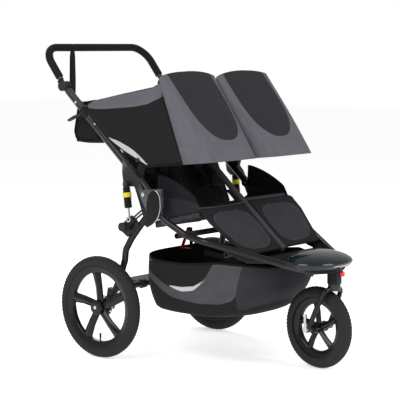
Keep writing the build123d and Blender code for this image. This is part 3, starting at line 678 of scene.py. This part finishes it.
for side_name, side in (("left", 1), ("right", -1)):
    def hood_point(u, v):
        t, down = canopy_section(u)
        rear, seam = -92, 286 + 118 * down
        x = mix(rear, seam, v)
        top_x = mix(rear, 286, v)
        top = along_points(hood_roof, top_x)
        foot = along_points(hood_foot, mix(rear, 404, v))
        crown = 10 * (1 - (2 * t - 1) ** 2) - 12
        drop = 22 * max(0.0, abs(2 * t - 1) - 0.72) / 0.28
        z = mix(top + (crown - drop) * (0.4 + 0.6 * v), foot, down)
        wrinkle = 2.2 * math.sin(v * 9 + down * 5) * math.sin(math.pi * down) * (1 - v)
        y = mix(334, 11, t)
        return x, side * (y - wrinkle * (1 if t < 0.5 else -1)), z

    def strip_mark(u, v, point):
        if u > 0.5:
            return unmarked
        if u > side_share:
            return 6 - (334 - abs(point[1])) * 0.2
        return 16 + 24 * v - (1 - u / side_share) * mix(41, 310, v)

    def crescent_mark(u, v, point):
        if u > side_share:
            return unmarked
        along = (point[0] - 13) / 235
        foot = along_points(hood_foot, point[0])
        if not 0 < along < 1:
            return unmarked
        return 36 * math.sin(math.pi * along) ** 0.8 - (point[2] - foot) - 2

    def binding_mark(u, v, point):
        foot = min(u, 1 - u) / side_share * 200
        return max(9 - foot, 2.2 - abs((1 - v) * 370 - 6) if v > 0.9 else unmarked, 9 - v * 370)

    hood = panel(side_name + "_hood", 96, 64, hood_point, (760, 390), hood_cloth,
                 (("strip", strip_mark), ("crescent", crescent_mark), ("binding", binding_mark)))
    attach(hood, "upper_frame")
    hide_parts(side_name + "_canopy_hood")
    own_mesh(hood)

    def visor_point(u, v):
        angle = math.pi * (u - 0.5)
        squareness = 2 / 7.5 if angle < 0 else 2 / 3.4
        t = 0.5 - 0.5 * squared(math.sin(angle), squareness)
        forward = max(0.0, math.cos(angle)) ** squareness
        front = mix((289, 1108), (533, 788), v)
        bulge = 7 * math.sin(math.pi * v)
        back = mix((284, 1087), (402, 775), v)
        x = mix(back[0], front[0] + bulge * 0.8, forward)
        z = mix(back[1], front[1] + bulge * 0.6, forward) + (9 - 14 * (2 * t - 1) ** 2) * (1 - v) * forward
        y = mix(5, 340, t)
        return x, side * y, z

    def tongue_mark(u, v, point):
        width = 130 * max(0.0, 1 - (v / 0.79) ** 4.2) ** 0.46
        if v >= 0.79:
            return unmarked
        return width - abs(abs(point[1]) - 172)

    def hem_mark(u, v, point):
        return 1.4 - abs((1 - v) * 405 - 15)

    visor = panel(side_name + "_visor", 110, 72, visor_point, (720, 405), visor_cloth,
                  (("tongue", tongue_mark), ("hem", hem_mark)), thick=2.0)
    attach(visor, side_name + "_canopy")
    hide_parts(side_name + "_canopy_visor", side_name + "_canopy_bow")
    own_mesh(visor)

# ---- Storage basket ----
# A deep sewn tub hung under the seats: black mesh and cloth, a grey swoosh along each side with a silver
# crescent, and a smooth grey front. Laid as one shell from rim to floor, sagging between its hangers.
basket_cloth = cloth("basket_cloth", (0.014, 0.014, 0.015), zones=(
    ("swoosh", (0.062, 0.063, 0.068)), ("patch", (0.13, 0.132, 0.14)), ("front", (0.030, 0.030, 0.036)),
    ("silver", (0.45, 0.46, 0.48)), ("rim", (0.008, 0.008, 0.008))))
basket_top = [(82, 406), (190, 397), (365, 401), (510, 416), (600, 405), (674, 388)]


basket_middle = 382
basket_half_width = 285
wall_share = 0.72


def basket_floor(x):
    """The height of the basket's bottom at x, rising toward the front."""
    return 184 + (52 * ((x - 440) / 230) ** 2 if x > 440 else 0)


def basket_foot(x):
    """Where the wall that leaves the rim at x meets the bottom."""
    return basket_middle + (x - basket_middle) * (0.93 if x < basket_middle else 0.80)


def basket_point(u, v):
    angle = math.tau * u + math.pi
    squareness = 2 / 3.4
    cosine, sine = math.cos(angle), math.sin(angle)
    rear_half = cosine < 0
    reach = 300 if rear_half else 290
    x = basket_middle + reach * squared(cosine, squareness if rear_half else 1.0)
    y = basket_half_width * squared(sine, squareness * (1 if rear_half else 1.15))
    sag = 5 * math.sin(math.pi * min(1, max(0, (x - 82) / 592)))
    top = along_points(basket_top, x) - sag * (1 - v)
    ground = basket_floor(x) + 16
    if v < wall_share:
        low = v / wall_share
        bulge = math.sin(math.pi * low) * 6
        inward = 1 - 0.10 * low ** 3
        lower_x = mix(x, basket_foot(x), low ** 2.6)
        crease = 2.0 * math.sin(u * 61) * math.sin(math.pi * low)
        swell = (3 if x > basket_middle else -3) * math.sin(math.pi * low) * abs(cosine)
        outward = sine if abs(y) < 280 else math.copysign(0.4, y)
        return lower_x + swell, y * inward + (bulge - 6 + crease) * outward, mix(top, ground, low)
    shrink = 1 - (v - wall_share) / (1 - wall_share)
    return mix(330, basket_foot(x), shrink), y * 0.9 * shrink, mix(181, ground, shrink ** 7)


def inside_band(points_top, points_low, point):
    """How far a point on the side lies inside the band between two runs of (x, z) points."""
    x, z = point[0], point[2]
    if x < points_top[0][0] or x > points_low[-1][0]:
        return unmarked
    ceiling = along_points(points_top, x)
    ground = along_points(points_low, x)
    return min(ceiling - z, z - ground, 40.0)


swoosh_top = [(96, 376), (140, 352), (189, 332), (289, 293), (399, 304), (454, 348), (495, 420), (640, 432)]
swoosh_low = [(96, 352), (112, 344), (189, 302), (289, 256), (412, 244), (500, 247), (543, 262), (585, 310),
              (612, 360), (640, 432)]


def swoosh_mark(u, v, point):
    return inside_band(swoosh_top, swoosh_low, point) if abs(point[1]) > 120 and v < wall_share else unmarked


def patch_mark(u, v, point):
    if abs(point[1]) < 200 or not 95 < point[0] < 262:
        return unmarked
    return point[2] - mix(372, 392, (point[0] - 95) / 167) - 4 - abs(point[0] - 180) * 0.03


def front_mark(u, v, point):
    return point[0] - mix(548, 590, (point[2] - 220) / 190) if v < wall_share else unmarked


def silver_mark(u, v, point):
    if abs(point[1]) < 150:
        return unmarked
    along = (point[0] - 270) / 190
    if not 0 < along < 1:
        return unmarked
    middle = along_points([(270, 303), (338, 293), (399, 302), (460, 342)], point[0])
    return 9 * math.sin(math.pi * along) - abs(point[2] - middle)


def rim_mark(u, v, point):
    return 10 - v / wall_share * 200


tub = panel("basket_tub", 192, 56, basket_point, (1700, 420), basket_cloth,
            (("swoosh", swoosh_mark), ("patch", patch_mark), ("front", front_mark), ("silver", silver_mark),
             ("rim", rim_mark)), thick=0)
bpy.ops.object.mode_set(mode="EDIT")
bpy.ops.mesh.select_all(action="SELECT")
bpy.ops.mesh.remove_doubles(threshold=0.0004)
bpy.ops.mesh.normals_make_consistent(inside=False)
bpy.ops.object.mode_set(mode="OBJECT")
tub_layer = tub.modifiers.new("thickness", "SOLIDIFY")
tub_layer.thickness = 0.002
tub_layer.offset = -1
bpy.ops.object.modifier_apply(modifier=tub_layer.name)
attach(tub, "chassis")
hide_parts("basket")
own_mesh(tub)

# ---- Seats ----
# Quilted sling seats: a padded bottom with cross channels, a calf panel with a pocket below the front
# hem, side wings of thin cloth and a padded band between the two seats. Sewn cloth over thin foam, hung
# from the side rails.
seat_cloth = cloth("seat_cloth", (0.014, 0.014, 0.016), 0.8, zones=(("pocket", (0.036, 0.036, 0.040)),
                                                                   ("piping", (0.070, 0.070, 0.076))))
back_cloth = cloth("back_cloth", (0.011, 0.011, 0.013), 0.8, zones=(("side_panel", (0.020, 0.022, 0.026)),))
webbing = cloth("webbing", (0.014, 0.014, 0.015), 0.7, threads=1400.0)
pad_cloth = cloth("pad_cloth", (0.020, 0.024, 0.032), 0.75)


def crowned(u, v, height, power=0.5):
    """A pillow's height: full in the middle, down at its edges."""
    across, along = (math.sin(math.pi * min(1, max(0, share))) ** power for share in (u, v))
    return height * across * along


def lay_uv(piece):
    """A UV map in metres for a strap or a band: y across, and the run up and forward along."""
    layer = piece.data.uv_layers.new(name="UVMap")
    for loop in piece.data.loops:
        place = piece.data.vertices[loop.vertex_index].co
        layer.data[loop.index].uv = (place.y, place.z * 0.7 + place.x * 0.7)


def block(name, finish, place):
    """A cube whose corners, half a unit each way, are laid by place(x, y, z) in millimetres."""
    bpy.ops.object.select_all(action="DESELECT")
    bpy.ops.mesh.primitive_cube_add(size=1, location=(0, 0, 0))
    piece = bpy.context.object
    piece.name = name
    for vertex in piece.data.vertices:
        vertex.co = spot(*place(*vertex.co))
    piece.data.materials.append(finish)
    return piece


def channels(share, count, width, depth):
    """Sewn channels across a pad, sunk at even spacing."""
    near = abs((share * count) % 1.0 - 0.5) - 0.5
    return -depth * math.exp(-(near / width) ** 2)


def padded_piece(name, across, along, place, size, finish, body, marks=(), thick=22.0):
    """A pad: its crowned face laid by place, given a back, and attached to its body."""
    piece = panel(name, across, along, place, size, finish, marks, thick=thick)
    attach(piece, body)
    return piece


inner, outer = 19, 281
back_lean = math.radians(114)
back_foot = (150, 536)


def back_face(along, forward):
    """A point on the leaning seat back, along it from its foot and forward of it."""
    x, z = back_foot[0] + along * math.cos(back_lean), back_foot[1] + along * math.sin(back_lean)
    return x + forward * math.sin(back_lean), z - forward * math.cos(back_lean)


def strap(name, points, width, thickness, middle_y, finish, body, spread=0.0):
    """A flat band through (x, z) points; spread carries it across the stroller as it goes."""
    rings = []
    for index, (x, z) in enumerate(points):
        before, after = points[max(0, index - 1)], points[min(len(points) - 1, index + 1)]
        tangent = Vector((after[0] - before[0], after[1] - before[1])).normalized()
        normal = (-tangent[1] * thickness / 2, tangent[0] * thickness / 2)
        y = middle_y + spread * index / (len(points) - 1)
        rings.append([spot(x + a * normal[0], y + b * width / 2, z + a * normal[1])
                      for a, b in ((1, -1), (1, 1), (-1, 1), (-1, -1))])
    band = lofted(name, rings)
    lay_uv(band)
    band.data.materials.append(finish)
    beveled(band, 0.0006, 1)
    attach(band, body)
    return band


for side_name, side in (("left", 1), ("right", -1)):
    def bottom_point(u, v):
        y = mix(inner, outer, u)
        x, z = mix(212, 428, v), mix(549, 603, v)
        rise = crowned(u, v, 9) + channels(v, 4, 0.16, 4) * math.sin(math.pi * u) ** 0.3
        dish = -9 * math.sin(math.pi * u) * math.sin(math.pi * v)
        return x - 0.24 * (rise + dish), side * y, z - 4 + rise + dish

    bottom = padded_piece(side_name + "_seat_pad", 56, 48, bottom_point, (262, 223), seat_cloth, "chassis",
                          thick=26.0)
    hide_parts(side_name + "_seat_base")

    def calf_point(u, v):
        y = mix(inner - 9, mix(outer + 8, 238, max(0, v - 0.36) / 0.64), u)
        if v < 0.16:
            turn = v / 0.16
            x, z = mix(428, 452, math.sin(turn * 1.57)), mix(606, 597, 1 - math.cos(turn * 1.57))
        else:
            run = (v - 0.16) / 0.84
            x, z = mix(452, 616, run), mix(597, 446, run)
        rise = crowned(u, min(1, v * 1.1), 7, 0.6) - 9 * math.sin(math.pi * u) * math.sin(math.pi * v)
        return x + rise * 0.6, side * y, z + rise * 0.7

    def pocket_edge(u, v):
        return 1 - (abs((u - 0.5) / 0.43) ** 3.2 + abs((v - 0.56) / 0.36) ** 3.2)

    def pocket_mark(u, v, point):
        return pocket_edge(u, v) * 60

    def piping_mark(u, v, point):
        return 2.0 - abs(pocket_edge(u, v)) * 42

    calf = padded_piece(side_name + "_calf_panel", 60, 48, calf_point, (262, 250), seat_cloth, "chassis",
                        (("pocket", pocket_mark), ("piping", piping_mark)), thick=9.0)
    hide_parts(side_name + "_seat_base")

    hem_rod = rod(side_name + "_seat_hem", [(434, side * y, 610 - 5 * math.sin(math.pi * (y - 16) / 272))
                                            for y in (16, 60, 110, 150, 200, 245, 288)], 3.4, seat_cloth)
    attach(hem_rod, "chassis")

    def wing_point(u, v):
        low = mix((226, 551), (440, 600), u)
        high = mix((232, 726), (414, 650), u)
        x, z = mix(low, high, v)
        z += 14 * math.sin(math.pi * u) ** 0.7 * v
        belly = 6 * math.sin(math.pi * u) * math.sin(math.pi * v)
        return x, side * (287 + belly * 0.4), z

    wing = panel(side_name + "_seat_wing", 30, 24, wing_point, (215, 150), back_cloth,
                 (("side_panel", lambda u, v, p: (0.5 - v) * 60),), thick=2.4)
    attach(wing, "chassis")
    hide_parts(side_name + "_seat_base")

    # Seat back: a tall pad with side bolsters and cross channels, leaning on its hinge at the foot.
    def back_place(u, v):
        narrowing = 10 * max(0, v - 0.75) / 0.25
        y = mix(inner + 1 + narrowing, outer - 1 - narrowing, u)
        bolster = 10 * (abs(2 * u - 1) ** 3) * math.sin(math.pi * min(1, v * 1.02)) ** 0.5
        forward = 6 + crowned(u, v, 6) + bolster + channels(v, 5, 0.12, 4) * math.sin(math.pi * u) ** 0.3
        x, z = back_face(mix(6, 416, v), forward)
        return x, side * y, z

    back = padded_piece(side_name + "_back_pad", 56, 72, back_place, (262, 410), back_cloth,
                        side_name + "_back",
                        (("side_panel", lambda u, v, p: (abs(2 * u - 1) - 0.74) * 60),), thick=24.0)
    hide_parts(side_name + "_seat_back")

    # Harness: shoulder straps with sleeves over them, waist straps, and a buckle over the crotch strap.
    middle = side * 150
    for across in (-1, 1):
        shoulder_run = ((352, 17), (330, 28), (300, 33), (260, 36), (220, 38), (180, 42), (150, 50),
                        (128, 62))
        strap(
            f"{side_name}_shoulder_strap_{across + 1}", [back_face(a, f) for a, f in shoulder_run],
            25, 2.4, middle + across * 58, webbing, side_name + "_back", spread=-across * 30)
        sleeve_run = ((318, 32), (290, 36), (250, 38), (210, 41), (182, 44))
        strap(f"{side_name}_shoulder_sleeve_{across + 1}", [back_face(a, f) for a, f in sleeve_run],
              46, 8, middle + across * 54, pad_cloth, side_name + "_back", spread=-across * 16)
        waist_run = ((100, 24), (96, 34), (98, 48), (104, 62))
        strap(f"{side_name}_waist_strap_{across + 1}", [back_face(a, f) for a, f in waist_run],
              24, 2.4, middle + across * 92, webbing, side_name + "_back", spread=-across * 66)
    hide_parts(side_name + "_harness")
    buckle_x, buckle_z = back_face(116, 66)
    buckle = block(side_name + "_buckle", black_moulding, lambda x, y, z: (
        buckle_x + x * 14, middle + y * 46 * (0.8 if z < 0 else 1.0), buckle_z + z * 44))
    beveled(buckle, 0.005, 4)
    smooth(buckle)
    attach(buckle, side_name + "_back")
    strap(side_name + "_crotch_strap", [(296, 572), (286, 588), (268, 606), (250, 622), (232, 634)],
          30, 3, middle, webbing, "chassis")

# Band between the two seats, from the canopies' middle down to the foot well.
divider_run = ((150, 868, 10), (209, 805, 12), (262, 756, 13), (316, 706, 14), (370, 656, 15), (423, 611, 17),
               (500, 543, 17), (560, 489, 15), (618, 440, 12))
divider_rings = []
for index, (x, z, half_width) in enumerate(divider_run):
    half_height, lift = (9, 4) if index < 6 else (13, 0)
    ring = []
    for turn in range(12):
        angle = math.tau * turn / 12
        rise = squared(math.sin(angle), 0.6) * half_height
        ring.append(spot(x + rise * 0.68, squared(math.cos(angle), 0.6) * half_width, z + rise * 0.73 + lift))
    divider_rings.append(ring)
divider = lofted("seat_divider", divider_rings)
lay_uv(divider)
divider.data.materials.append(seat_cloth)
smooth(divider, 60)
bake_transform(divider)

# Foot well: cloth skirts between the rails and the deck, and the deck's ribbed rubber mat.
for side_name, side in (("left", 1), ("right", -1)):
    def skirt_point(u, v):
        x = mix(560, 728, u)
        rail = 328 - (x - 492) * 0.624, 492 - (x - 492) * 0.32
        deck_edge = mix(236, 152, max(0, (x - 590) / 132)), 417 if x > 600 else mix(430, 417, (x - 560) / 40)
        y, z = mix((rail[0] - 6, rail[1] - 4), deck_edge, v)
        return x, side * y, z - 5 * math.sin(math.pi * v)

    skirt = panel(side_name + "_foot_skirt", 26, 8, skirt_point, (190, 60), seat_cloth,
                  (("pocket", lambda u, v, p: unmarked), ("piping", lambda u, v, p: unmarked)), thick=1.8)
    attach(skirt, "chassis")

mat_ribs = []
for index in range(9):
    rib_x = 612 + index * 12.4
    half_width = mix(214, 150, index / 8) - 8
    mat_ribs.append(block("mat_rib", deck_rubber, lambda x, y, z: (
        rib_x + x * 6, y * 2 * half_width, 421.4 + z * 3)))
mat = beveled(join("foot_mat", mat_ribs), 0.001)
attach(mat, "chassis")

# ---- Rear cloth and pocket ----
# Cloth between the upper tubes behind the seats, and the parent's pocket hung on it: two open bags with a
# mesh front and a pale edge stripe.
rear_cloth_finish = cloth("rear_cloth_finish", (0.011, 0.011, 0.012), 0.85)


def rear_cloth_point(u, v):
    x, z = mix((-150, 992), (-96, 1001), v)
    sag = 7 * math.sin(math.pi * u) * (1 - v)
    return x, mix(-287, 287, u), z - sag


rear_cloth = panel("rear_cloth", 60, 8, rear_cloth_point, (574, 60), rear_cloth_finish, thick=1.5)
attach(rear_cloth, "upper_frame")

pocket_cloth = cloth("pocket_cloth", (0.012, 0.012, 0.013), 0.85, zones=(
    ("stripe", (0.30, 0.30, 0.31)), ("mesh", (0.03, 0.03, 0.032)), ("binding", (0.022, 0.022, 0.024))))


for side_name, side in (("left", 1), ("right", -1)):
    def pocket_point(u, v):
        lobe = abs(math.sin(math.pi * u)) ** 0.5
        outline = [(-205, 970), (-222, 905), (-229, 868), (-226, 846), (-208, 831), (-160, 829), (-100, 831),
                   (-83, 840), (-84, 866), (-112, 925), (-134, 970)]
        place = v * (len(outline) - 1)
        step = min(int(place), len(outline) - 2)
        x, z = mix(outline[step], outline[step + 1], place - step)
        inward = (1 - lobe) * 10 + 8 * max(0, u - 0.93) / 0.07
        x += inward if x < -150 else -inward * 0.6
        z += inward * 0.5 if z < 900 else 0
        return x, side * mix(0.6, 275, u), z + 1.2 * math.sin(u * 20) * math.sin(math.pi * v)

    def end_point(u, v):
        rear, front = mix((-204, 967), (-228, 850), v), mix((-135, 967), (-86, 845), v)
        if v >= 0.8:
            rear = mix((-223.2, 873.4), (-206, 833), (v - 0.8) / 0.2)
        if v >= 0.9:
            front = mix((-91, 857), (-98, 833), (v - 0.9) / 0.1)
        x, z = mix(rear, front, u)
        return x, side * (266 + 4 * math.sin(math.pi * u) * math.sin(math.pi * v)), z

    wall = panel(side_name + "_pocket", 48, 50, pocket_point, (280, 330), pocket_cloth, (
        ("stripe", lambda u, v, p: 7 - abs(abs(p[1]) - 262) if v < 0.42 else unmarked),
        ("mesh", lambda u, v, p: 60 - abs(abs(p[1]) - 150) if 0.05 < v < 0.33 else unmarked),
        ("binding", lambda u, v, p: 8 - min(v, 1 - v) * 330)), thick=2.0)
    end = panel(side_name + "_pocket_end", 12, 16, end_point, (110, 130), pocket_cloth,
                (("stripe", lambda u, v, p: unmarked), ("mesh", lambda u, v, p: unmarked),
                 ("binding", lambda u, v, p: 8 - v * 130)), thick=2.0)
    pocket = join(side_name + "_pocket", [wall, end])
    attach(pocket, "upper_frame")
    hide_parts("storage_pocket")
    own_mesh(pocket)

# ---- Straps ----
# The wrist strap on the handlebar's bare gap and the red fold strap under the seats, both woven webbing
# loops.
bar_x, bar_z, wrist_y = -352.6, 1207.0, -136
wrist_route = [
    (bar_x, bar_z - 14), (bar_x - 4, 1170), (bar_x - 5, 1130), (bar_x - 6, 1090), (bar_x - 6, 1050),
    (bar_x - 4, 1020), (bar_x, 1003), (bar_x + 4, 1020), (bar_x + 5, 1050), (bar_x + 5, 1090),
    (bar_x + 4, 1130), (bar_x + 3, 1170), (bar_x, bar_z - 14)]
wrist_loop = strap("wrist_loop", wrist_route[:7], 24, 2.4, wrist_y, webbing, "handlebar")
strap("wrist_loop_back", wrist_route[6:], 24, 2.4, wrist_y, webbing, "handlebar")
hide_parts("wrist_strap")
wrist_collar = spun("wrist_collar", [(11.3, -13), (14.6, -13), (15.2, 0), (14.6, 13), (11.3, 13)],
                    (bar_x, wrist_y, bar_z), 32)
wrist_collar.data.materials.append(webbing)
smooth(wrist_collar)
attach(wrist_collar, "handlebar")

red_webbing = cloth("red_webbing", (0.45, 0.014, 0.016), 0.7, threads=1400.0)
for strap_name, route, strap_finish in (
        ("fold_strap_front", [(242, 506), (243, 480), (245, 450), (246, 424)], webbing),
        ("fold_strap_rear", [(232, 506), (222, 480), (210, 450), (199, 424)], red_webbing),
        ("fold_strap_foot", [(199, 422.5), (215, 422), (232, 422), (247, 422.5)], red_webbing)):
    fold_piece = strap(strap_name, route, 20, 2.6, -101, strap_finish, "chassis")
    if strap_name == "fold_strap_rear":
        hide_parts("fold_strap")

# ---- Hinge covers, spring guides and shocks ----
# A moulded cover stands on each hinge casting with a bright curved rim; two guide bars run from the hinge
# to the ride knob; each shock has ribbed bellows and a yellow band.
yellow_gloss = grained("yellow_gloss", (0.60, 0.50, 0.03), 0.45, 600, 10, 0.0001)
shock_top, shock_foot = (121.0, 687.0), (138.0, 552.0)
shock_length = math.hypot(shock_foot[0] - shock_top[0], shock_foot[1] - shock_top[1])
run_x = (shock_foot[0] - shock_top[0]) / shock_length
run_z = (shock_foot[1] - shock_top[1]) / shock_length


def shock_ring(down, swell, side):
    """A ring of that radius round the shock's axis, down millimetres below its top eye."""
    ring = []
    for turn in range(24):
        angle = math.tau * turn / 24
        out = swell * math.cos(angle)
        ring.append(spot(shock_top[0] + run_x * down - run_z * out, side * 345 + swell * math.sin(angle),
                         shock_top[1] + run_z * down + run_x * out))
    return ring


for side_name, side in (("left", 1), ("right", -1)):
    cover_outline = [
        (258, 668), (284, 674), (298, 664), (303, 640), (306, 612), (300, 585), (286, 560), (262, 540),
        (238, 530), (224, 536), (226, 560), (232, 590), (236, 625), (242, 652)]
    middle_x = sum(p[0] for p in cover_outline) / len(cover_outline)
    middle_z = sum(p[1] for p in cover_outline) / len(cover_outline)
    rings = []
    for y, share in ((349, 0.97), (350, 1.0), (352.5, 1.0), (354.5, 0.94), (355.2, 0.86)):
        rings.append([spot(mix(middle_x, x, share), side * (y + 6), mix(middle_z, z, share))
                      for x, z in cover_outline])
    cover = lofted(side_name + "_hinge_cover", rings)
    cover.data.materials.append(black_moulding)
    smooth(beveled(cover, 0.0012))
    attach(cover, "chassis")
    rim_run = [(284, 361, 672), (299, 361.5, 661), (305, 362, 636), (307, 362, 610), (301, 362, 584),
               (287, 361.5, 559), (262, 361, 539), (238, 360, 529)]
    rim_rod = rod(side_name + "_hinge_rim", [(x, side * y, z) for x, y, z in rim_run], 1.6, brushed_steel)
    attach(rim_rod, "chassis")
    for bar_name, shift in (("upper", 7), ("lower", -7)):
        guide_run = [(112, 334, 522), (150, 334, 553), (190, 333, 583), (222, 332, 604)]
        bar = rod(f"{side_name}_{bar_name}_guide", [(x, side * y, z + shift) for x, y, z in guide_run],
                  3.6, powder_coat)
        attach(bar, "swing_arm")
    bellows = lofted(side_name + "_shock_bellows", [
        shock_ring(14 + index * 1.9, 14.5 + 1.6 * math.cos(math.tau * index / 4), side)
        for index in range(41)])
    bellows.data.materials.append(black_moulding)
    smooth(bellows, 60)
    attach(bellows, side_name + "_barrel")
    yellow_band = lofted(side_name + "_shock_band", [
        shock_ring(down, swell, side) for down, swell in ((32, 14.0), (33, 16.6), (50, 16.6), (51, 14.0))])
    yellow_band.data.materials.append(yellow_gloss)
    smooth(yellow_band)
    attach(yellow_band, side_name + "_barrel")

    # Cloth sleeve on each upper tube where the canopy's rear edge is tied on, and rivet heads along the
    # tube.
    sleeve_rings = []
    for index in range(9):
        down = 0.76 - 0.075 * index / 8
        x, z = mix((212, 652), (-235, 1055), down + 0.02)
        swell = 17.4 + 1.2 * math.sin(index * 2.1)
        ring = []
        for turn in range(20):
            angle = math.tau * turn / 20
            out = swell * math.cos(angle)
            ring.append(spot(x + out * 0.67, side * (307 + swell * math.sin(angle)), z + out * 0.742))
        sleeve_rings.append(ring)
    sleeve = lofted(side_name + "_tube_sleeve", sleeve_rings)
    lay_uv(sleeve)
    sleeve.data.materials.append(webbing)
    smooth(sleeve, 60)
    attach(sleeve, "upper_frame")
    for rivet_name, x, y, z, rivet_body in (
            ("upper", -162, 323, 993, "upper_frame"), ("middle", -59, 323, 912, "upper_frame"),
            ("lower", 108, 331, 686, "rear_carrier")):
        rivet_head = spun(f"{side_name}_{rivet_name}_rivet", [
            (0.4, 0), (5.2, 0), (5.4, 1.2), (4.2, 2.8), (2.2, 3.5), (0.4, 3.7)], (x, y, z), 20)
        if side < 0:
            rivet_head.data.transform(Matrix.Scale(-1, 4, (0, 1, 0)))
            rivet_head.data.flip_normals()
        rivet_head.data.materials.append(brushed_steel)
        smooth(rivet_head)
        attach(rivet_head, rivet_body)

bpy.context.view_layer.update()
